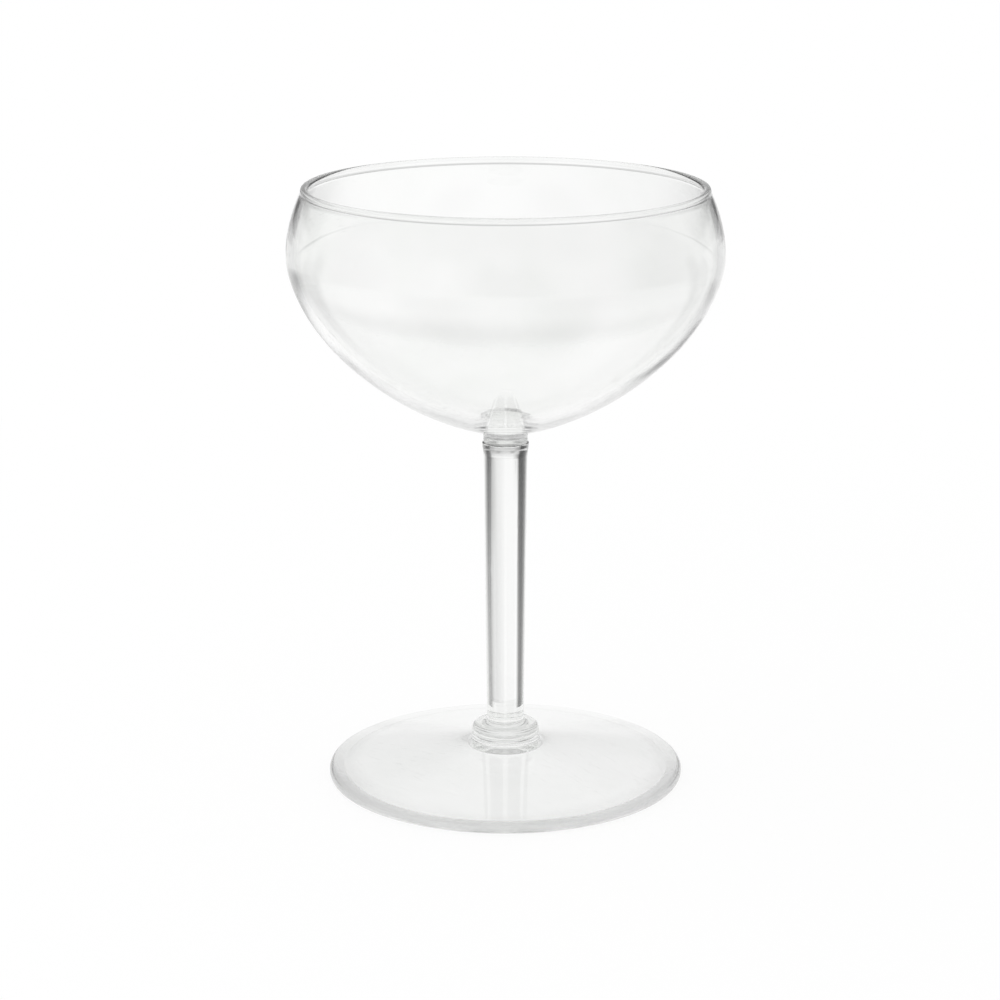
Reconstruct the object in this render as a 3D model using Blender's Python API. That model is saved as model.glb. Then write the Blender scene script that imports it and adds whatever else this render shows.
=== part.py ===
"""Clear plastic margarita glass: a bowl, a stem and a foot, fixed by spigots in blind sockets.

Metres, +Z up. The origin is the centre of the ring that the foot rests on.
Each piece is turned from one outline, drawn as radius and height above the piece's own seat.
"""
import math

import bmesh
import bpy
from mathutils import Vector

# Overall sizes
HEIGHT = 0.156
BOWL_RADIUS = 0.0555
FOOT_RADIUS = 0.0464

# Fit between the pieces
JOINT_GAP = 0.0003

# Bowl: outside sizes, then its walls
RIM_RADIUS = 0.0506  # to the middle of the lip
RIM_RISE = 0.0179  # from the widest point up to the rim
LIP_RADIUS = 0.00105  # of the round bead along the rim
BOWL_DEPTH = 0.0460  # from the widest point down to the outer bottom
BOWL_WALL = 0.0020  # at the widest point and below
RIM_WALL = 0.0015  # under the bead
BOWL_FLOOR = 0.0026
FLOOR_DISH = 0.0140  # radius of the spherical dish in the middle of the floor
SIDE_POWER = 1.69  # the outline is a superellipse with these two powers
BOTTOM_POWER = 1.606

# Neck under the bowl, with the socket for the stem
NECK_RADIUS = 0.0057
NECK_HEIGHT = 0.0026
NECK_FILLET = 0.0026
NECK_ROUND = 0.0004

# Stem
STEM_TOP_RADIUS = 0.0057
STEM_LOW_RADIUS = 0.0048
TOP_FLANGE_RADIUS = 0.0060
TOP_FLANGE_HEIGHT = 0.0012
TOP_FLANGE_ROUND = 0.0005
TOP_TAPER = 0.0022  # height of the cone from the top flange to the stem
TOP_BLEND = 0.0040
TOP_SPIGOT_RADIUS = 0.0034
TOP_SPIGOT_LENGTH = 0.0030
LOW_FLANGE_RADIUS = 0.0088
LOW_FLANGE_HEIGHT = 0.0033
LOW_FLANGE_ROUND = 0.0016
COVE_RADIUS = 0.0019  # between the stem and the low flange
LOW_SPIGOT_RADIUS = 0.0042
LOW_SPIGOT_LENGTH = 0.0036
SPIGOT_ROUND = 0.0004

# Foot
HUB_RADIUS = 0.0091
HUB_TOP = 0.0109  # height of the hub's seat above the table
HUB_RISE = 0.0026  # from the cone up to the seat
HUB_ROUND = 0.0010
HUB_FILLET = 0.0012
HUB_FLOOR = 0.0014  # plastic left under the socket
EDGE_HEIGHT = 0.0032
EDGE_TOP_ROUND = 0.0017
EDGE_LOW_ROUND = 0.0015
REST_WIDTH = 0.0030  # flat ring that stands on the table
REST_ROUND = 0.0015
CEILING_BLEND = 0.0060  # between the underside's cone and the hub's flat ceiling

# Facets
ROUND_SEGMENTS = 60
STEM_SEGMENTS = 40
SIDE_STEPS = 12
RIM_STEPS = 4
LIP_STEPS = 7
DISH_STEPS = 3
FILLET_STEPS = 3
FILLET_SHARE = 0.49  # most of an outline's straight stretch that one fillet may take
MERGE = 0.00001
SMOOTH_ANGLE = math.radians(32)

# Finish
CLEAR_PLASTIC = (0.94, 0.96, 0.94, 1.0)
CLEAR_ROUGHNESS = 0.04
CLEAR_IOR = 1.53

# Sizes that follow
NECK_Z = HEIGHT - RIM_RISE - BOWL_DEPTH - NECK_HEIGHT
STEM_Z = HUB_TOP + JOINT_GAP
STEM_LENGTH = NECK_Z - JOINT_GAP - STEM_Z
TOP_SOCKET_RADIUS = TOP_SPIGOT_RADIUS + JOINT_GAP
LOW_SOCKET_RADIUS = LOW_SPIGOT_RADIUS + JOINT_GAP


def clear_scene():
    """Remove every object of the open scene."""
    for thing in list(bpy.data.objects):
        bpy.data.objects.remove(thing, do_unlink=True)


def clear_plastic(name):
    """One piece's own clear plastic."""
    material = bpy.data.materials.new(name)
    material.use_nodes = True
    shader = material.node_tree.nodes["Principled BSDF"]
    shader.inputs["Base Color"].default_value = CLEAR_PLASTIC
    shader.inputs["Roughness"].default_value = CLEAR_ROUGHNESS
    shader.inputs["Metallic"].default_value = 0.0
    shader.inputs["IOR"].default_value = CLEAR_IOR
    shader.inputs["Transmission Weight"].default_value = 1.0
    return material


def rounded(corners):
    """Outline points of corners (radius, height, fillet), with an arc on each fillet."""
    points = []
    last = len(corners) - 1
    for index, (radius, height, fillet) in enumerate(corners):
        corner = Vector((radius, height))
        if fillet == 0 or index in (0, last):
            points.append(corner)
            continue
        before = Vector(corners[index - 1][:2]) - corner
        after = Vector(corners[index + 1][:2]) - corner
        half_angle = before.angle(after) / 2
        room = FILLET_SHARE * min(before.length, after.length)
        reach = min(fillet / math.tan(half_angle), room)
        before.normalize()
        after.normalize()
        centre = corner + (before + after).normalized() * (reach / math.cos(half_angle))
        start = corner + before * reach - centre
        end = corner + after * reach - centre
        for step in range(FILLET_STEPS + 1):
            points.append(centre + start.slerp(end, step / FILLET_STEPS) * start.length)
    return points


def turned(name, outline, segments, height, parent):
    """Spin an outline that starts and ends on the axis into one closed piece at its height."""
    shape = bmesh.new()
    verts = [shape.verts.new((radius, 0, level)) for radius, level in outline]
    edges = [shape.edges.new(pair) for pair in zip(verts, verts[1:])]
    bmesh.ops.spin(shape, geom=verts + edges, cent=(0, 0, 0), axis=(0, 0, 1), angle=math.tau,
                   steps=segments, use_merge=True)
    bmesh.ops.remove_doubles(shape, verts=shape.verts, dist=MERGE)
    bmesh.ops.recalc_face_normals(shape, faces=shape.faces)
    mesh = bpy.data.meshes.new(name)
    shape.to_mesh(mesh)
    shape.free()
    mesh.shade_smooth()
    mesh.set_sharp_from_angle(angle=SMOOTH_ANGLE)
    mesh.materials.append(clear_plastic(name + "_clear"))
    piece = bpy.data.objects.new(name, mesh)
    piece.parent = parent
    piece.location.z = height
    bpy.context.collection.objects.link(piece)
    return piece


def side_curve(radius, depth, end_radius):
    """Superellipse from the widest point (height 0) down to end_radius."""
    end_angle = math.acos((end_radius / radius) ** (BOTTOM_POWER / 2))
    points = []
    for step in range(SIDE_STEPS + 1):
        angle = end_angle * step / SIDE_STEPS
        across = radius * math.cos(angle) ** (2 / BOTTOM_POWER)
        down = depth * math.sin(angle) ** (2 / SIDE_POWER)
        points.append(Vector((across, -down)))
    return points


def side_drop(radius, depth, at_radius):
    """Depth of the superellipse at a radius, and its slope there."""
    share = at_radius / radius
    rest = 1 - share ** BOTTOM_POWER
    drop = depth * rest ** (1 / SIDE_POWER)
    slope = drop / rest / SIDE_POWER * BOTTOM_POWER * share ** (BOTTOM_POWER - 1) / radius
    return drop, slope


def rim_curve(side):
    """Wall from the widest point up to the bead, side 1 outside and -1 inside, and its tilt there."""
    middle = BOWL_RADIUS - BOWL_WALL / 2
    lean = middle - RIM_RADIUS
    rise = RIM_RISE - LIP_RADIUS
    under_bead = math.sqrt(LIP_RADIUS ** 2 - (RIM_WALL / 2) ** 2)
    points = []
    for step in range(1, RIM_STEPS + 1):
        share = step / RIM_STEPS * (1 - under_bead / rise)
        tilt = math.atan(2 * share * lean / rise)
        half_wall = (BOWL_WALL + (RIM_WALL - BOWL_WALL) * share ** 2) / 2
        outward = Vector((math.cos(tilt), math.sin(tilt)))
        points.append(Vector((middle - lean * share ** 2, rise * share)) + outward * side * half_wall)
    return points, tilt


def lip_curve(tilt):
    """Round bead from the inside of the wall over to the outside, without its two ends."""
    centre = Vector((RIM_RADIUS, RIM_RISE - LIP_RADIUS))
    spread = math.pi - math.asin(RIM_WALL / 2 / LIP_RADIUS)
    points = []
    for step in range(1, LIP_STEPS):
        angle = tilt + math.pi / 2 + spread * (1 - 2 * step / LIP_STEPS)
        points.append(centre + Vector((math.cos(angle), math.sin(angle))) * LIP_RADIUS)
    return points


def floor_dish(radius, depth):
    """Spherical dish in the middle of the floor, from the axis out to where the side takes over."""
    drop, slope = side_drop(radius, depth, FLOOR_DISH)
    reach = math.atan(slope)
    sphere = FLOOR_DISH / math.sin(reach)
    centre = sphere * math.cos(reach) - drop
    points = []
    for step in range(DISH_STEPS):
        angle = reach * step / DISH_STEPS
        points.append(Vector((sphere * math.sin(angle), centre - sphere * math.cos(angle))))
    return points


def bowl_outline():
    """Inside of the bowl from its middle, over the lip, down the outside, then the neck and its socket."""
    inner_radius = BOWL_RADIUS - BOWL_WALL
    inner_depth = BOWL_DEPTH - BOWL_FLOOR
    inner_side = side_curve(inner_radius, inner_depth, FLOOR_DISH)
    inner_rim, tilt = rim_curve(-1)
    outer_rim, _ = rim_curve(1)
    neck_drop, _ = side_drop(BOWL_RADIUS, BOWL_DEPTH, NECK_RADIUS)
    outer_side = side_curve(BOWL_RADIUS, BOWL_DEPTH, NECK_RADIUS + 2 * NECK_FILLET)
    wall = floor_dish(inner_radius, inner_depth) + inner_side[::-1] + inner_rim
    wall += lip_curve(tilt) + outer_rim[::-1] + outer_side
    widest = NECK_HEIGHT + BOWL_DEPTH
    neck = [
        (NECK_RADIUS, widest - neck_drop, NECK_FILLET),
        (NECK_RADIUS, 0, NECK_ROUND),
        (TOP_SOCKET_RADIUS, 0, 0),
        (TOP_SOCKET_RADIUS, TOP_SPIGOT_LENGTH, 0),
        (0, TOP_SPIGOT_LENGTH, 0),
    ]
    return rounded([(across, level + widest, 0) for across, level in wall] + neck)


def stem_outline():
    """Top spigot, top flange, tapering rod, cove, low flange and low spigot."""
    rod_top = STEM_LENGTH - TOP_FLANGE_HEIGHT - TOP_TAPER
    return rounded([
        (0, STEM_LENGTH + TOP_SPIGOT_LENGTH, 0),
        (TOP_SPIGOT_RADIUS, STEM_LENGTH + TOP_SPIGOT_LENGTH, SPIGOT_ROUND),
        (TOP_SPIGOT_RADIUS, STEM_LENGTH, 0),
        (TOP_FLANGE_RADIUS, STEM_LENGTH, TOP_FLANGE_ROUND),
        (TOP_FLANGE_RADIUS, STEM_LENGTH - TOP_FLANGE_HEIGHT, TOP_FLANGE_ROUND),
        (STEM_TOP_RADIUS, rod_top, TOP_BLEND),
        (STEM_LOW_RADIUS, LOW_FLANGE_HEIGHT, COVE_RADIUS),
        (LOW_FLANGE_RADIUS, LOW_FLANGE_HEIGHT, LOW_FLANGE_ROUND),
        (LOW_FLANGE_RADIUS, 0, LOW_FLANGE_ROUND),
        (LOW_SPIGOT_RADIUS, 0, 0),
        (LOW_SPIGOT_RADIUS, -LOW_SPIGOT_LENGTH, SPIGOT_ROUND),
        (0, -LOW_SPIGOT_LENGTH, 0),
    ])


def foot_outline():
    """Socket, hub ring, cone out to the rounded edge, resting ring and dished underside."""
    socket_floor = HUB_TOP - LOW_SPIGOT_LENGTH
    ceiling = socket_floor - HUB_FLOOR
    return rounded([
        (0, socket_floor, 0),
        (LOW_SOCKET_RADIUS, socket_floor, 0),
        (LOW_SOCKET_RADIUS, HUB_TOP, 0),
        (HUB_RADIUS, HUB_TOP, HUB_ROUND),
        (HUB_RADIUS, HUB_TOP - HUB_RISE, HUB_FILLET),
        (FOOT_RADIUS, EDGE_HEIGHT, EDGE_TOP_ROUND),
        (FOOT_RADIUS, 0, EDGE_LOW_ROUND),
        (FOOT_RADIUS - EDGE_LOW_ROUND - REST_WIDTH, 0, REST_ROUND),
        (HUB_RADIUS, ceiling, CEILING_BLEND),
        (0, ceiling, 0),
    ])


def main():
    clear_scene()
    glass = bpy.data.objects.new("margarita_glass", None)
    bpy.context.collection.objects.link(glass)
    turned("foot", foot_outline(), ROUND_SEGMENTS, 0, glass)
    turned("stem", stem_outline(), STEM_SEGMENTS, STEM_Z, glass)
    turned("bowl", bowl_outline(), ROUND_SEGMENTS, NECK_Z, glass)


main()
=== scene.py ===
import math

import bmesh
import bpy
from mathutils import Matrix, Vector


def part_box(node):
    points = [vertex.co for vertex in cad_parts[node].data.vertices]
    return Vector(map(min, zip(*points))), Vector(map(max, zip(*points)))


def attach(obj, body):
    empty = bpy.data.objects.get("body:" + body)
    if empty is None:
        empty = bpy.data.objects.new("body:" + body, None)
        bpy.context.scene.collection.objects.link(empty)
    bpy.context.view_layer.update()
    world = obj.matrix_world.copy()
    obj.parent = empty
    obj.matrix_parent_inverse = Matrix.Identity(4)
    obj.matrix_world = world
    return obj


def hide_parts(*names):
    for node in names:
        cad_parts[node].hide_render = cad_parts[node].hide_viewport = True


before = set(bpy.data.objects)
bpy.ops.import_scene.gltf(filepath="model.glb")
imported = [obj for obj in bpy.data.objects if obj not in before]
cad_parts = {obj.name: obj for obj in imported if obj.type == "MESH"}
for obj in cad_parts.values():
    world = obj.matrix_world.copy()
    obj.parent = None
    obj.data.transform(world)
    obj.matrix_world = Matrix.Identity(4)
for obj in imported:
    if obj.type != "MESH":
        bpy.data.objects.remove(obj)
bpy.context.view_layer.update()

# Sizes in metres. The frame gives the outer ones. The rest repeat the part's own, apart from the hub ring, the
# top flange, the neck's edge and the bonded faces, which follow the photograph more closely.
_, FOOT_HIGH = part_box("foot")
STEM_LOW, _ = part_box("stem")
BOWL_LOW, BOWL_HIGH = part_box("bowl")

RIM_Z = BOWL_HIGH.z
BOWL_RADIUS = BOWL_HIGH.x
NECK_Z = BOWL_LOW.z
HUB_TOP = FOOT_HIGH.z
FOOT_RADIUS = FOOT_HIGH.x
BOND = 0.0003  # bond line between two mouldings
LAP = 0.0002  # the clear bond lets light through, so the stem's ends run on into the other two pieces
TOP_POINT = 0.0032  # the bonded faces are cones, which mirror less than level ones
LOW_POINT = 0.0028

RIM_RADIUS = 0.0506  # to the middle of the lip
RIM_RISE = 0.0179  # from the widest point up to the rim
BEAD_RADIUS = 0.00105  # round bead along the rim
BEAD_FILLET = 0.0003
RIM_WALL = 0.0015  # under the bead
BOWL_WALL = 0.0020
BOWL_FLOOR = 0.0026
FLOOR_DISH = 0.0140  # radius of the spherical dish in the middle of the floor
SIDE_POWER = 1.69  # powers of the superellipse, a separate one for its depth and its radius
BOTTOM_POWER = 1.606
NECK_RADIUS = 0.0057
NECK_HEIGHT = 0.0026
NECK_FILLET = 0.0026
NECK_ROUND = 0.0001
WIDEST_Z = RIM_Z - RIM_RISE
BOWL_DEPTH = WIDEST_Z - NECK_Z - NECK_HEIGHT

STEM_TOP_RADIUS = 0.0057
STEM_LOW_RADIUS = 0.0048
TOP_FLANGE_RADIUS = 0.0060
TOP_FLANGE_HEIGHT = 0.0009
TOP_FLANGE_ROUND = 0.0002
TOP_TAPER = 0.0022
TOP_BLEND = 0.0040
LOW_FLANGE_RADIUS = 0.0088
LOW_FLANGE_HEIGHT = 0.0033
LOW_FLANGE_ROUND = 0.0016
COVE_RADIUS = 0.0019
STEM_TOP = NECK_Z + LAP
STEM_SEAT = HUB_TOP - LAP

HUB_RADIUS = 0.0091
HUB_RISE = 0.0011
HUB_ROUND = 0.0005
HUB_FILLET = 0.0001
HUB_FLOOR = 0.0014
EDGE_HEIGHT = 0.0032
EDGE_TOP_ROUND = 0.0017
EDGE_LOW_ROUND = 0.0015
REST_WIDTH = 0.0030
REST_ROUND = 0.0015
CEILING_BLEND = 0.0060

# Facets
ROUND_SEGMENTS = 256
STEM_SEGMENTS = 128
STUDIO_SEGMENTS = 96
SIDE_STEPS = 48
RIM_STEPS = 14
BEAD_STEPS = 20
DISH_STEPS = 10
FILLET_STEPS = 8
FILLET_SHARE = 0.49  # most of an outline's side that a fillet may take
MERGE = 0.000002
SMOOTH_ANGLE = math.radians(35)

# Clear plastic, the same in all three mouldings
PLASTIC_IOR = 1.53
LAMP_TINT = (0.93, 0.94, 0.93, 1)  # what is left of a lamp's light behind the plastic
MARK_DEPTH = 0.0001
SCRATCH_DRAW = (1.0, 14.0, 3.0)  # squeezes the noise into streaks

# Noise of each mark: scale, detail, distortion. An edge is where the mark starts and where it is full.
CLOUD_NOISE = (38.0, 3.0, 0.3)
CLOUD_EDGE = (0.34, 0.66)
SMUDGE_NOISE = (95.0, 4.0, 0.8)
SMUDGE_EDGE = (0.50, 0.72)
SCRATCH_NOISE = (160.0, 2.0, 0.1)
SCRATCH_EDGE = (0.66, 0.74)
RIPPLE_NOISE = (60.0, 1.0, 0.2)

# Looks of the three mouldings. Flow is how much the marks are drawn out. Use has dulled the plastic from
# fresh_z on, most at worn_z.
BOWL_LOOK = {
    "flow": (1.0, 1.0, 0.7),
    "fresh_z": RIM_Z - 0.006,
    "worn_z": RIM_Z,
    "marks": {
        "Clear": (0.992, 0.994, 0.990, 1),
        "Cloudy": (0.966, 0.973, 0.964, 1),
        "Gloss": 0.016,
        "Smudge": 0.020,
        "Scratch": 0.030,
        "Wear": 0.05,
        "Ripple": 0.50,
    },
}
STEM_LOOK = {
    "flow": (1.6, 1.6, 0.25),
    "fresh_z": 0.040,
    "worn_z": 0.075,
    "marks": {
        "Clear": (0.992, 0.994, 0.990, 1),
        "Cloudy": (0.962, 0.968, 0.958, 1),
        "Gloss": 0.014,
        "Smudge": 0.016,
        "Scratch": 0.020,
        "Wear": 0.03,
        "Ripple": 0.25,
    },
}
FOOT_LOOK = {
    "flow": (0.9, 0.9, 2.0),
    "fresh_z": 0.0012,
    "worn_z": 0.0,
    "marks": {
        "Clear": (0.990, 0.993, 0.988, 1),
        "Cloudy": (0.958, 0.966, 0.956, 1),
        "Gloss": 0.018,
        "Smudge": 0.024,
        "Scratch": 0.040,
        "Wear": 0.22,
        "Ripple": 0.60,
    },
}

# Camera, fitted to the photograph
CAMERA_AZIMUTH = math.radians(225)
CAMERA_DISTANCE = 0.7329
CAMERA_HEIGHT = 0.2687
CAMERA_PITCH = math.radians(14.859)
CAMERA_PAN = math.radians(0.111)
CAMERA_LENS = 105.7  # this and the sensor in millimetres
CAMERA_SENSOR = 36
CAMERA_NEAR = 0.01
CAMERA_FAR = 20

# Studio. Directions are compass degrees, clockwise from +Y as seen from above.
CAMERA_LOOKS = 135
HALF_TURN = 180
GLASS_BOUNCES = 32
KEY_PLACE = (0.5, 0.5, 1.2)
KEY_SIZE = 0.8
KEY_POWER = 6
SKY_FILL = 0.8  # even light on the floor
FLOOR_PAPER = (0.94, 0.94, 0.94, 1)
FLOOR_RADIUS = 4.0
FLOOR_Z = -0.0003  # just under the foot, so that the two don't touch
SHADOW_REACH = 0.10  # up to here the paper's own shade shows most
SHADOW_END = 0.45  # from here on it is plain white
SHADOW_GLOW = 0.90  # share of plain white where the shade shows most

# Sheet that holds the floor's painted shade, which shows only in the glass
SHADE_SHEET_Z = -0.0001
SHADE_SHEET_INNER = FOOT_RADIUS + 0.001
SHADE_SHEET_OUTER = 0.98 * FLOOR_RADIUS

# Grey patches of painted shade on the floor, seen only in the glass: middle, half width, soft edge, near, far,
# fade, tone.
# Near and far are metres from the stem, and the fade is a share of them.
FLOOR_SHADE_IN_GLASS = (
    (135, 18, 9, 0.455, 0.51, 0.06, 0.90),
    (146, 8, 6, 0.52, 1.1, 0.20, 0.93),
    (102, 14, 8, 0.33, 1.9, 0.20, 0.82),
    (102, 14, 8, 0.42, 0.66, 0.20, 0.46),
    (168, 11, 7, 0.24, 1.9, 0.25, 0.76),
    (170, 9, 7, 0.37, 0.50, 0.15, 0.58),
    (120, 6, 4, 0.84, 0.94, 0.05, 0.65),
    (150, 6, 4, 0.84, 0.94, 0.05, 0.65),
    (113, 14, 5, 2.2, 9.0, 0.15, 0.42),
    (157, 14, 5, 2.2, 9.0, 0.15, 0.42),
    (42, 18, 14, 0.6, 9.0, 0.40, 0.55),
    (-45, 20, 14, 0.6, 9.0, 0.40, 0.55),
    (-132, 18, 14, 0.6, 9.0, 0.40, 0.55),
    (-78, 15, 12, 0.12, 0.45, 0.40, 0.65),
    (-12, 15, 12, 0.12, 0.45, 0.40, 0.65),
)

# Panels of the surroundings, painted in turn as light and shade seen only in the glass: middle, half width,
# soft edge, low, high, fade, tone. Low, high and fade are degrees above the horizon.
PAINTED_SKY_PANELS = (
    (0, 200, 1, -95, 120, 1, 0.80),
    (-45, 105, 15, -40, 20, 8, 1.0),
    (0, 200, 1, 24, 120, 12, 0.50),
    (0, 200, 1, 14, 24, 8, 0.67),
    (135, 12, 8, 7, 24, 8, 0.68),
    (135, 26, 10, -40, 5, 5, 1.0),
    (180, 28, 16, 30, 58, 12, 0.76),
    (90, 28, 16, 30, 58, 12, 0.76),
    (135, 40, 15, 34, 80, 8, 0.80),
    (113, 14, 5, -20, 3, 2, 0.34),
    (157, 14, 5, -20, 3, 2, 0.34),
    (101, 18, 6, 3, 9, 2.5, 0.09),
    (169, 18, 6, 3, 9, 2.5, 0.09),
    (42, 18, 14, -9, 12, 9, 0.50),
    (-45, 20, 14, -9, 12, 9, 0.50),
    (-132, 18, 14, -9, 12, 9, 0.50),
)

# Sheets of painted shade close round the stem, seen only in the glass as its dark lines. Each shades light
# that has met no more than so many surfaces.
STEM_SURFACES = 2
JOINT_SURFACES = 4
LINE_RADIUS = 0.0080
SHOULDER_RADIUS = 0.00816
SHEET_RADIUS = 0.0120
STEM_SHADE_LOW = 0.0155  # just over the cove
SIDE_TOP = 0.0865
SHEET_TOP = 0.0845
LINES_TOP = 0.0872
SHOULDER_LOW = 0.0855
SEAM_Z = 0.0876
NECK_TOP = 0.0928
SIDE_MIDDLES = (0, -45, -90)

# Columns of a sheet of painted shade from left to right as seen from inside: angle from the middle at the top
# and at the foot, tone at the top and at the foot
PHOTO_LINES = (
    (-32, -50, 1.0, 1.0),
    (-15, -25, 0.13, 0.38),
    (-7, -15, 0.03, 0.24),
    (-2.9, -10.8, 0.08, 0.34),
    (-1.4, -6.8, 1.0, 1.0),
    (2.5, 8.5, 1.0, 1.0),
    (4.4, 13, 0.30, 0.55),
    (8.3, 20, 0.06, 0.46),
    (14, 26, 0.32, 0.70),
    (27, 43, 1.0, 1.0),
)
PHOTO_SHEET = (
    (-3, -4, 1.0, 1.0),
    (0, 0, 0.98, 0.98),
    (3, 4.5, 0.91, 0.91),
    (6.5, 9, 0.83, 0.83),
    (10.5, 15, 0.75, 0.75),
    (14, 20, 0.75, 0.75),
    (19, 26, 1.0, 1.0),
)
PHOTO_NECK = (
    (-44, -44, 1.0, 1.0),
    (-34, -34, 0.80, 0.60),
    (-3, -3, 0.75, 0.55),
    (1, 1, 0.40, 0.22),
    (24, 24, 0.34, 0.18),
    (34, 34, 1.0, 1.0),
)
PHOTO_SHOULDER = (
    (-34, -34, 1.0, 1.0),
    (-28, -28, 0.70, 0.95),
    (-2, -2, 0.65, 0.95),
    (1, 1, 0.45, 0.95),
    (24, 24, 0.40, 0.95),
    (30, 30, 1.0, 1.0),
)
SIDE_LINES = (
    (-28, -44, 1.0, 1.0),
    (-14, -25, 0.80, 0.25),
    (-3, -9, 0.75, 0.15),
    (-1.4, -5, 1.0, 1.0),
    (1.4, 5, 1.0, 1.0),
    (3, 9, 0.75, 0.15),
    (14, 25, 0.80, 0.25),
    (28, 44, 1.0, 1.0),
)

# A Mix node's two inputs and its output, by what it mixes
MIX_SOCKETS = {"FLOAT": (2, 3, 0), "RGBA": (6, 7, 2)}


def new_material(name):
    """Node material without nodes, and its node tree."""
    material = bpy.data.materials.new(name)
    material.use_nodes = True
    material.node_tree.nodes.clear()
    return material, material.node_tree


def new_group(name, inputs, outputs):
    """Shader node group with its named sockets, and the sockets of its input node."""
    group = bpy.data.node_groups.new(name, "ShaderNodeTree")
    for side, sockets in (("INPUT", inputs), ("OUTPUT", outputs)):
        for socket, kind in sockets:
            group.interface.new_socket(name=socket, in_out=side, socket_type=kind)
    return group, group.nodes.new("NodeGroupInput").outputs


def feed(tree, node, values):
    """Link each input of a node to the socket given for it, or set it to the plain value."""
    for name, value in values.items():
        if isinstance(value, bpy.types.NodeSocket):
            tree.links.new(value, node.inputs[name])
        else:
            node.inputs[name].default_value = value


def add(tree, kind, values=None):
    """Outputs of a new node whose inputs are fed."""
    node = tree.nodes.new(kind)
    feed(tree, node, values or {})
    return node.outputs


def add_group(tree, group, values):
    """Outputs of a new node that holds a group and whose inputs are fed."""
    node = tree.nodes.new("ShaderNodeGroup")
    node.node_tree = group
    feed(tree, node, values)
    return node.outputs


def reckon(tree, operation, *values):
    """Result of a Math node on sockets or numbers."""
    node = tree.nodes.new("ShaderNodeMath")
    node.operation = operation
    feed(tree, node, dict(enumerate(values)))
    return node.outputs[0]


def blend(tree, kind, share, first, second):
    """Value or colour between two others, the second in full at a share of 1."""
    start, stop, result = MIX_SOCKETS[kind]
    node = tree.nodes.new("ShaderNodeMix")
    node.data_type = kind
    feed(tree, node, {0: share, start: first, stop: second})
    return node.outputs[result]


def spread(tree, value, first, last, start=0.0, stop=1.0, ease="SMOOTHSTEP"):
    """Value stretched from one range to another and held at its ends."""
    node = tree.nodes.new("ShaderNodeMapRange")
    node.interpolation_type = ease
    feed(tree, node, {"Value": value, "From Min": first, "From Max": last, "To Min": start, "To Max": stop})
    return node.outputs["Result"]


def distance(tree, place):
    """Length of a vector."""
    node = tree.nodes.new("ShaderNodeVectorMath")
    node.operation = "LENGTH"
    feed(tree, node, {0: place})
    return node.outputs["Value"]


def noise(tree, place, scale, detail, warp):
    """Noise from 0 to 1 at a place."""
    values = {"Vector": place, "Scale": scale, "Detail": detail, "Distortion": warp}
    return add(tree, "ShaderNodeTexNoise", values)["Fac"]


def moulding_group():
    """Marks of a clear moulding: clouds in its colour, smudges, scratches and wear in its gloss, ripple."""
    inputs = [("Place", "NodeSocketVector"), ("Clear", "NodeSocketColor"), ("Cloudy", "NodeSocketColor")]
    for name in ("Gloss", "Smudge", "Scratch", "Worn", "Wear", "Ripple"):
        inputs.append((name, "NodeSocketFloat"))
    group, given = new_group("moulding_marks", inputs, [
        ("Color", "NodeSocketColor"),
        ("Roughness", "NodeSocketFloat"),
        ("Height", "NodeSocketFloat"),
    ])
    place = given["Place"]
    drawn = group.nodes.new("ShaderNodeVectorMath")
    drawn.operation = "MULTIPLY"
    feed(group, drawn, {0: place, 1: SCRATCH_DRAW})
    clouds = spread(group, noise(group, place, *CLOUD_NOISE), *CLOUD_EDGE)
    smudges = spread(group, noise(group, place, *SMUDGE_NOISE), *SMUDGE_EDGE)
    scratches = spread(group, noise(group, drawn.outputs["Vector"], *SCRATCH_NOISE), *SCRATCH_EDGE)
    rough = reckon(group, "MULTIPLY_ADD", smudges, given["Smudge"], given["Gloss"])
    rough = reckon(group, "MULTIPLY_ADD", scratches, given["Scratch"], rough)
    rough = reckon(group, "MULTIPLY_ADD", given["Worn"], given["Wear"], rough)
    ripple = reckon(group, "MULTIPLY", noise(group, place, *RIPPLE_NOISE), given["Ripple"])
    add(group, "NodeGroupOutput", {
        "Color": blend(group, "RGBA", clouds, given["Clear"], given["Cloudy"]),
        "Roughness": rough,
        "Height": reckon(group, "MULTIPLY_ADD", scratches, given["Scratch"], ripple),
    })
    return group


def clear_plastic(name, group, look):
    """Clear moulded plastic with the shared marks, set for one piece."""
    material, tree = new_material(name)
    place = add(tree, "ShaderNodeTexCoord")["Object"]
    flow = add(tree, "ShaderNodeMapping", {"Vector": place, "Scale": look["flow"]})
    height = add(tree, "ShaderNodeSeparateXYZ", {0: place})["Z"]
    worn = spread(tree, height, look["fresh_z"], look["worn_z"])
    marks = add_group(tree, group, {"Place": flow["Vector"], "Worn": worn, **look["marks"]})
    bump = add(tree, "ShaderNodeBump", {"Strength": 1.0, "Distance": MARK_DEPTH, "Height": marks["Height"]})
    plastic = add(tree, "ShaderNodeBsdfPrincipled", {
        "IOR": PLASTIC_IOR,
        "Transmission Weight": 1.0,
        "Base Color": marks["Color"],
        "Roughness": marks["Roughness"],
        "Normal": bump["Normal"],
    })
    lamp_light = add(tree, "ShaderNodeBsdfTransparent", {"Color": LAMP_TINT})
    path = add(tree, "ShaderNodeLightPath")
    mix = add(tree, "ShaderNodeMixShader", {
        "Fac": path["Is Shadow Ray"],
        1: plastic["BSDF"],
        2: lamp_light["BSDF"],
    })
    add(tree, "ShaderNodeOutputMaterial", {"Surface": mix["Shader"]})
    return material


def mesh_object(name, shape, material):
    """Object in the scene from a finished bmesh."""
    mesh = bpy.data.meshes.new(name)
    shape.to_mesh(mesh)
    shape.free()
    mesh.materials.append(material)
    thing = bpy.data.objects.new(name, mesh)
    bpy.context.collection.objects.link(thing)
    return thing


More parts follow.
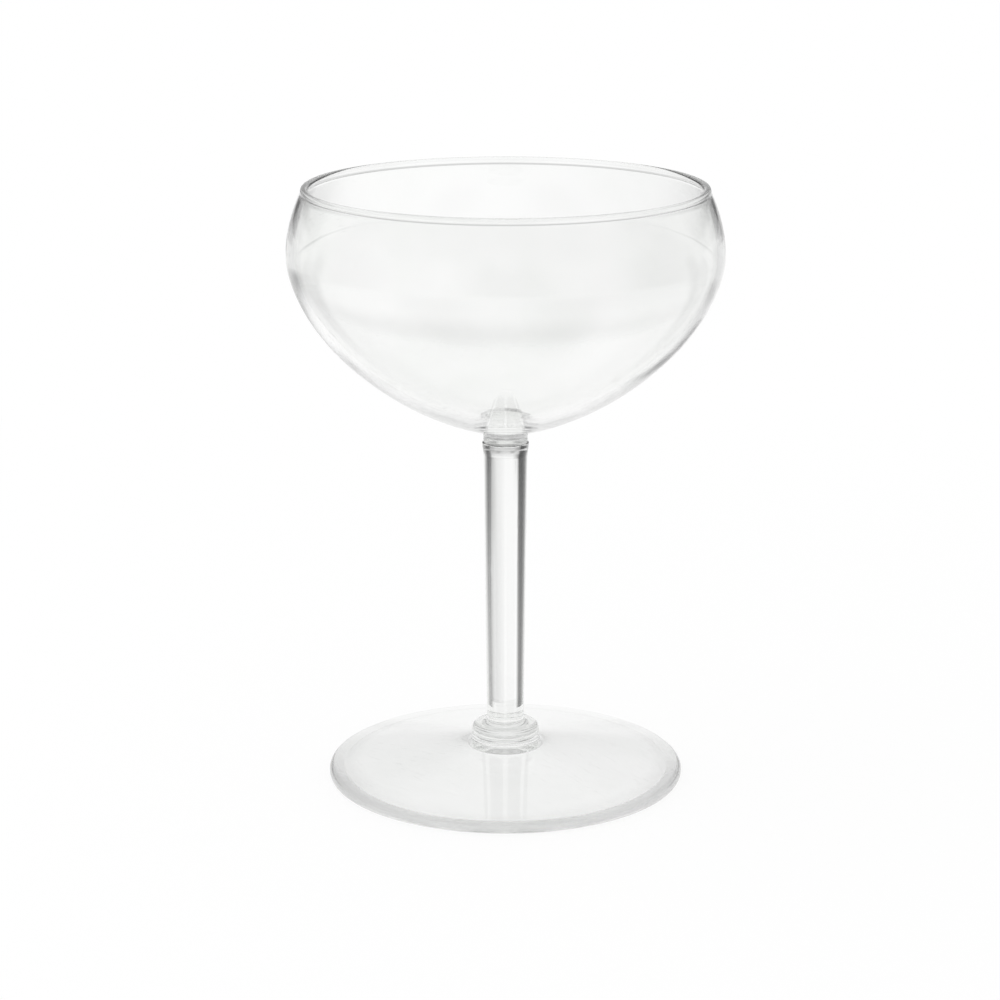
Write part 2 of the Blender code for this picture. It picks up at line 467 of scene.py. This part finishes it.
def turned_piece(name, corners, segments, material):
    """Spin an outline of corners (radius, height, fillet) about the upright axis."""
    shape = bmesh.new()
    verts = [shape.verts.new((radius, 0, height)) for radius, height, fillet in corners]
    for pair in zip(verts, verts[1:]):
        shape.edges.new(pair)
    rounds = []
    for before, vert, after, corner in zip(verts, verts[1:], verts[2:], corners[1:]):
        fillet = corner[2]
        if fillet:
            arm = before.co - vert.co
            other = after.co - vert.co
            room = FILLET_SHARE * min(arm.length, other.length)
            rounds.append((vert, min(fillet / math.tan(arm.angle(other) / 2), room)))
    for vert, reach in rounds:
        bmesh.ops.bevel(shape, geom=[vert], offset=reach, offset_type="OFFSET", segments=FILLET_STEPS,
                        profile=0.5, affect="VERTICES", material=-1)
    bmesh.ops.spin(shape, geom=shape.verts[:] + shape.edges[:], cent=(0, 0, 0), axis=(0, 0, 1),
                   angle=math.tau, steps=segments, use_merge=True)
    bmesh.ops.remove_doubles(shape, verts=shape.verts, dist=MERGE)
    bmesh.ops.recalc_face_normals(shape, faces=shape.faces)
    piece = mesh_object(name, shape, material)
    piece.data.shade_smooth()
    piece.data.set_sharp_from_angle(angle=SMOOTH_ANGLE)
    return piece


def side_curve(radius, depth, end_radius):
    """Superellipse from the widest point down to end_radius, as corners."""
    end_angle = math.acos((end_radius / radius) ** (BOTTOM_POWER / 2))
    corners = []
    for step in range(SIDE_STEPS + 1):
        angle = end_angle * step / SIDE_STEPS
        across = radius * math.cos(angle) ** (2 / BOTTOM_POWER)
        down = depth * math.sin(angle) ** (2 / SIDE_POWER)
        corners.append((across, WIDEST_Z - down, 0))
    return corners


def side_drop(radius, depth, at_radius):
    """Depth of the superellipse at a radius, and its slope there."""
    share = at_radius / radius
    rest = 1 - share ** BOTTOM_POWER
    drop = depth * rest ** (1 / SIDE_POWER)
    slope = depth * BOTTOM_POWER / SIDE_POWER / radius
    slope *= rest ** (1 / SIDE_POWER - 1) * share ** (BOTTOM_POWER - 1)
    return drop, slope


def rim_curve(side):
    """Wall from the widest point up to the bead, side 1 outside and -1 inside, and its tilt there."""
    middle = BOWL_RADIUS - BOWL_WALL / 2
    lean = middle - RIM_RADIUS
    rise = RIM_RISE - BEAD_RADIUS
    under_bead = math.sqrt(BEAD_RADIUS ** 2 - (RIM_WALL / 2) ** 2)
    corners = []
    for step in range(1, RIM_STEPS + 1):
        share = step / RIM_STEPS * (1 - under_bead / rise)
        tilt = math.atan(2 * share * lean / rise)
        out = side * (BOWL_WALL + (RIM_WALL - BOWL_WALL) * share ** 2) / 2
        across = middle - lean * share ** 2 + out * math.cos(tilt)
        fillet = BEAD_FILLET if step == RIM_STEPS else 0
        corners.append((across, WIDEST_Z + rise * share + out * math.sin(tilt), fillet))
    return corners, tilt


def bead_curve(tilt):
    """Round bead from the inside of the wall over to the outside, without its two ends."""
    reach = math.pi - math.asin(RIM_WALL / 2 / BEAD_RADIUS)
    corners = []
    for step in range(1, BEAD_STEPS):
        angle = tilt + math.pi / 2 + reach * (1 - 2 * step / BEAD_STEPS)
        across = RIM_RADIUS + math.cos(angle) * BEAD_RADIUS
        corners.append((across, RIM_Z - BEAD_RADIUS + math.sin(angle) * BEAD_RADIUS, 0))
    return corners


def floor_dish(radius, depth):
    """Spherical dish in the middle of the floor."""
    drop, slope = side_drop(radius, depth, FLOOR_DISH)
    reach = math.atan(slope)
    sphere = FLOOR_DISH / math.sin(reach)
    centre = WIDEST_Z - drop + sphere * math.cos(reach)
    corners = []
    for step in range(DISH_STEPS):
        angle = reach * step / DISH_STEPS
        corners.append((sphere * math.sin(angle), centre - sphere * math.cos(angle), 0))
    return corners


def bowl_corners():
    """Inside of the bowl from its middle, over the bead, down the outside to the neck's bonded face."""
    inner_radius = BOWL_RADIUS - BOWL_WALL
    inner_depth = BOWL_DEPTH - BOWL_FLOOR
    inner_rim, tilt = rim_curve(-1)
    outer_rim, _ = rim_curve(1)
    neck_drop, _ = side_drop(BOWL_RADIUS, BOWL_DEPTH, NECK_RADIUS)
    corners = floor_dish(inner_radius, inner_depth)
    corners += side_curve(inner_radius, inner_depth, FLOOR_DISH)[::-1]
    corners += inner_rim + bead_curve(tilt) + outer_rim[::-1]
    corners += side_curve(BOWL_RADIUS, BOWL_DEPTH, NECK_RADIUS + 2 * NECK_FILLET)
    return corners + [
        (NECK_RADIUS, WIDEST_Z - neck_drop, NECK_FILLET),
        (NECK_RADIUS, NECK_Z, NECK_ROUND),
        (0, NECK_Z + TOP_POINT, 0),
    ]


def stem_corners():
    """Top flange, tapering rod, cove and low flange, between the two bonded faces."""
    rod_top = STEM_TOP - TOP_FLANGE_HEIGHT - TOP_TAPER
    cove_z = STEM_SEAT + LOW_FLANGE_HEIGHT
    return [
        (0, STEM_TOP + TOP_POINT, 0),
        (TOP_FLANGE_RADIUS, STEM_TOP, TOP_FLANGE_ROUND),
        (TOP_FLANGE_RADIUS, STEM_TOP - TOP_FLANGE_HEIGHT, TOP_FLANGE_ROUND),
        (STEM_TOP_RADIUS, rod_top, TOP_BLEND),
        (STEM_LOW_RADIUS, cove_z, COVE_RADIUS),
        (LOW_FLANGE_RADIUS, cove_z, LOW_FLANGE_ROUND),
        (LOW_FLANGE_RADIUS, STEM_SEAT, LOW_FLANGE_ROUND),
        (0, STEM_SEAT - LOW_POINT, 0),
    ]


def foot_corners():
    """Bonded face, hub ring, cone out to the rounded edge, resting ring and dished underside."""
    ceiling = STEM_LOW.z - BOND - HUB_FLOOR
    return [
        (0, HUB_TOP - LOW_POINT, 0),
        (HUB_RADIUS, HUB_TOP, HUB_ROUND),
        (HUB_RADIUS, HUB_TOP - HUB_RISE, HUB_FILLET),
        (FOOT_RADIUS, EDGE_HEIGHT, EDGE_TOP_ROUND),
        (FOOT_RADIUS, 0, EDGE_LOW_ROUND),
        (FOOT_RADIUS - EDGE_LOW_ROUND - REST_WIDTH, 0, REST_ROUND),
        (HUB_RADIUS, ceiling, CEILING_BLEND),
        (0, ceiling, 0),
    ]


def glass_pieces():
    """The three mouldings, each in its own clear plastic, in place of the frame's nodes."""
    group = moulding_group()
    for name, corners, segments, node, slot, look in (
        ("clear_foot", foot_corners(), ROUND_SEGMENTS, "foot", "foot_plastic", FOOT_LOOK),
        ("clear_stem", stem_corners(), STEM_SEGMENTS, "stem", "stem_plastic", STEM_LOOK),
        ("clear_bowl", bowl_corners(), ROUND_SEGMENTS, "bowl", "bowl_plastic", BOWL_LOOK),
    ):
        piece = turned_piece(name, corners, segments, clear_plastic(slot, group, look))
        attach(piece, "root")
        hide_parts(node)


def first_look(tree, path):
    """1 for rays that show the backdrop, also through the glass, and 0 once they light a surface."""
    seen = reckon(tree, "MAXIMUM", path["Is Camera Ray"], path["Is Glossy Ray"])
    seen = reckon(tree, "MAXIMUM", seen, path["Is Transmission Ray"])
    unlit = reckon(tree, "LESS_THAN", path["Diffuse Depth"], 1)
    return reckon(tree, "MULTIPLY", seen, unlit)


def studio_floor():
    """White paper under the glass. Its own shade, with the shadow, shows a little near the foot."""
    material, tree = new_material("studio_floor")
    material.cycles.emission_sampling = "NONE"
    path = add(tree, "ShaderNodeLightPath")
    reach = distance(tree, add(tree, "ShaderNodeTexCoord")["Object"])
    share = spread(tree, reach, SHADOW_REACH, SHADOW_END, SHADOW_GLOW, 1.0, ease="LINEAR")
    paper = add(tree, "ShaderNodeBsdfDiffuse", {"Color": FLOOR_PAPER})
    glow = add(tree, "ShaderNodeEmission", {"Strength": 1.0})
    mix = add(tree, "ShaderNodeMixShader", {
        "Fac": reckon(tree, "MULTIPLY", first_look(tree, path), share),
        1: paper["BSDF"],
        2: glow["Emission"],
    })
    add(tree, "ShaderNodeOutputMaterial", {"Surface": mix["Shader"]})
    shape = bmesh.new()
    bmesh.ops.create_circle(shape, cap_ends=True, segments=STUDIO_SEGMENTS, radius=FLOOR_RADIUS)
    floor = mesh_object("studio_floor", shape, material)
    floor.location.z = FLOOR_Z


def window_group():
    """Value with one soft-edged window painted into it: an angle range times a range along another axis."""
    names = ["Angle", "Along", "Value", "Middle", "Full", "End", "Tone"]
    names += ["Low Out", "Low In", "High In", "High Out"]
    inputs = [(name, "NodeSocketFloat") for name in names]
    group, given = new_group("studio_window", inputs, [("Value", "NodeSocketFloat")])
    turn = reckon(group, "SUBTRACT", given["Angle"], given["Middle"])
    off = reckon(group, "ABSOLUTE", reckon(group, "WRAP", turn, HALF_TURN, -HALF_TURN))
    across = spread(group, off, given["Full"], given["End"], 1, 0)
    over = spread(group, given["Along"], given["Low Out"], given["Low In"], 0, 1)
    under = spread(group, given["Along"], given["High In"], given["High Out"], 1, 0)
    mask = reckon(group, "MULTIPLY", reckon(group, "MULTIPLY", across, over), under)
    painted = blend(group, "FLOAT", mask, given["Value"], given["Tone"])
    add(group, "NodeGroupOutput", {"Value": painted})
    return group


def paint_windows(tree, group, angle, along, rows):
    """Windows painted in turn over white. A row is middle, half width, soft edge, low, high, fade, tone."""
    value = 1.0
    for middle, half, soft, low, high, fade, tone in rows:
        window = add_group(tree, group, {
            "Angle": angle,
            "Along": along,
            "Value": value,
            "Middle": middle,
            "Full": half - soft,
            "End": half + soft,
            "Low Out": low - fade,
            "Low In": low + fade,
            "High In": high - fade,
            "High Out": high + fade,
            "Tone": tone,
        })
        value = window["Value"]
    return value


def compass(tree, vector):
    """Compass angle of a vector in degrees, and its height."""
    parts = add(tree, "ShaderNodeSeparateXYZ", {0: vector})
    turn = reckon(tree, "ARCTAN2", parts["X"], parts["Y"])
    return reckon(tree, "DEGREES", turn), parts["Z"]


def seen_in_glass(shade_sheet):
    """Make a sheet of painted shade show only through the glass and in its reflections."""
    shade_sheet.visible_camera = False
    shade_sheet.visible_diffuse = False
    shade_sheet.visible_shadow = False


def floor_shade_in_glass(group):
    """One clear sheet on the floor round the foot, with grey patches of painted shade on it that show only in
    the glass.
    """
    material, tree = new_material("floor_shade_in_glass")
    place = add(tree, "ShaderNodeTexCoord")["Object"]
    angle, _ = compass(tree, place)
    along = reckon(tree, "LOGARITHM", distance(tree, place), math.e)
    rows = [row[:3] + (math.log(row[3]), math.log(row[4])) + row[5:] for row in FLOOR_SHADE_IN_GLASS]
    # Painted shade: grey patches that darken what the glass shows of the floor
    painted_shade = add(tree, "ShaderNodeBsdfTransparent", {"Color": paint_windows(tree, group, angle, along, rows)})
    add(tree, "ShaderNodeOutputMaterial", {"Surface": painted_shade["BSDF"]})
    shape = bmesh.new()
    verts = [shape.verts.new((reach, 0, SHADE_SHEET_Z)) for reach in (SHADE_SHEET_INNER, SHADE_SHEET_OUTER)]
    edge = shape.edges.new(verts)
    bmesh.ops.spin(shape, geom=verts + [edge], cent=(0, 0, 0), axis=(0, 0, 1), angle=math.tau,
                   steps=STUDIO_SEGMENTS, use_merge=True)
    seen_in_glass(mesh_object("floor_shade_in_glass", shape, material))


def shade_sheet_material(name, surfaces):
    """Painted shade whose tone is stored on its mesh, clear for light that has met more surfaces than that."""
    material, tree = new_material(name)
    tone = tree.nodes.new("ShaderNodeAttribute")
    tone.attribute_name = "tone"
    path = add(tree, "ShaderNodeLightPath")
    strayed = reckon(tree, "GREATER_THAN", path["Ray Depth"], surfaces)
    shade = blend(tree, "FLOAT", strayed, tone.outputs["Fac"], 1.0)
    painted_shade = add(tree, "ShaderNodeBsdfTransparent", {"Color": shade})
    add(tree, "ShaderNodeOutputMaterial", {"Surface": painted_shade["BSDF"]})
    return material


def stem_shade_sheet(name, material, middle, radius, low, top, columns):
    """Upright sheet of painted shade beside the stem, from columns of two angles and two tones."""
    shape = bmesh.new()
    pairs = []
    tones = []
    for top_angle, low_angle, top_tone, low_tone in columns:
        pair = []
        for offset, level in ((top_angle, top), (low_angle, low)):
            turn = math.radians(middle + offset)
            pair.append(shape.verts.new((radius * math.sin(turn), radius * math.cos(turn), level)))
        pairs.append(pair)
        tones += [top_tone, low_tone]
    for left, right in zip(pairs, pairs[1:]):
        shape.faces.new((left[0], left[1], right[1], right[0]))
    shade_sheet = mesh_object(name, shape, material)
    # The tones are painted shade for the dark lines that the glass shows
    shade_sheet.data.attributes.new("tone", "FLOAT", "POINT").data.foreach_set("value", tones)
    seen_in_glass(shade_sheet)


def stem_shade_sheets():
    """Sheets of painted shade for the stem's dark lines and its seam, as photographed, and plainer ones for
    its other sides.
    """
    # Painted shade round the stem, for its dark lines in the glass
    painted_shade = shade_sheet_material("stem_shade_sheet", STEM_SURFACES)
    joint_shade_sheet = shade_sheet_material("joint_shade_sheet", JOINT_SURFACES)
    stem_shade_sheet("photo_lines", painted_shade, CAMERA_LOOKS, LINE_RADIUS, STEM_SHADE_LOW, LINES_TOP, PHOTO_LINES)
    stem_shade_sheet("photo_sheet", painted_shade, CAMERA_LOOKS, SHEET_RADIUS, STEM_SHADE_LOW, SHEET_TOP, PHOTO_SHEET)
    stem_shade_sheet("photo_neck", joint_shade_sheet, CAMERA_LOOKS, LINE_RADIUS, SEAM_Z, NECK_TOP, PHOTO_NECK)
    stem_shade_sheet("photo_shoulder", joint_shade_sheet, CAMERA_LOOKS, SHOULDER_RADIUS, SHOULDER_LOW, SEAM_Z,
             PHOTO_SHOULDER)
    for index, middle in enumerate(SIDE_MIDDLES):
        stem_shade_sheet(f"side_lines_{index}", painted_shade, middle, LINE_RADIUS, STEM_SHADE_LOW, SIDE_TOP, SIDE_LINES)


def studio_world(group):
    """White towards the camera, panels of painted light and shade in the glass, and an even fill for the
    floor.
    """
    world = bpy.data.worlds.new("studio")
    world.use_nodes = True
    world.cycles.sampling_method = "NONE"
    tree = world.node_tree
    tree.nodes.clear()
    path = add(tree, "ShaderNodeLightPath")
    angle, height = compass(tree, add(tree, "ShaderNodeTexCoord")["Generated"])
    rise = reckon(tree, "DEGREES", reckon(tree, "ARCSINE", height))
    # Painted light and shade that only the glass shows
    panels = paint_windows(tree, group, angle, rise, PAINTED_SKY_PANELS)
    backdrop = blend(tree, "FLOAT", path["Is Camera Ray"], panels, 1.0)
    level = blend(tree, "FLOAT", first_look(tree, path), SKY_FILL, backdrop)
    sky = add(tree, "ShaderNodeBackground", {"Color": (1, 1, 1, 1), "Strength": level})
    add(tree, "ShaderNodeOutputWorld", {"Surface": sky["Background"]})
    bpy.context.scene.world = world


def key_softbox():
    """Soft lamp above the glass, not seen in it."""
    lamp = bpy.data.lights.new("key_softbox", "AREA")
    lamp.shape = "SQUARE"
    lamp.size = KEY_SIZE
    lamp.energy = KEY_POWER
    box = bpy.data.objects.new("key_softbox", lamp)
    box.location = KEY_PLACE
    box.rotation_euler = (-box.location).to_track_quat("-Z", "Y").to_euler()
    box.visible_transmission = False
    box.visible_glossy = False
    bpy.context.collection.objects.link(box)


def photo_camera():
    """Camera at the photograph's viewing angle."""
    lens = bpy.data.cameras.new("photo_camera")
    lens.lens = CAMERA_LENS
    lens.sensor_width = CAMERA_SENSOR
    lens.clip_start = CAMERA_NEAR
    lens.clip_end = CAMERA_FAR
    camera = bpy.data.objects.new("photo_camera", lens)
    across = CAMERA_DISTANCE * math.sin(CAMERA_AZIMUTH)
    back = -CAMERA_DISTANCE * math.cos(CAMERA_AZIMUTH)
    camera.location = (across, back, CAMERA_HEIGHT)
    camera.rotation_euler = (math.pi / 2 - CAMERA_PITCH, 0, CAMERA_AZIMUTH + CAMERA_PAN)
    bpy.context.collection.objects.link(camera)
    bpy.context.scene.camera = camera


def main():
    """The glass and its studio."""
    scene = bpy.context.scene
    scene.view_settings.view_transform = "Standard"
    scene.cycles.max_bounces = GLASS_BOUNCES
    scene.cycles.glossy_bounces = GLASS_BOUNCES
    scene.cycles.transmission_bounces = GLASS_BOUNCES
    glass_pieces()
    window = window_group()
    studio_floor()
    floor_shade_in_glass(window)
    studio_world(window)
    stem_shade_sheets()
    key_softbox()
    photo_camera()


main()
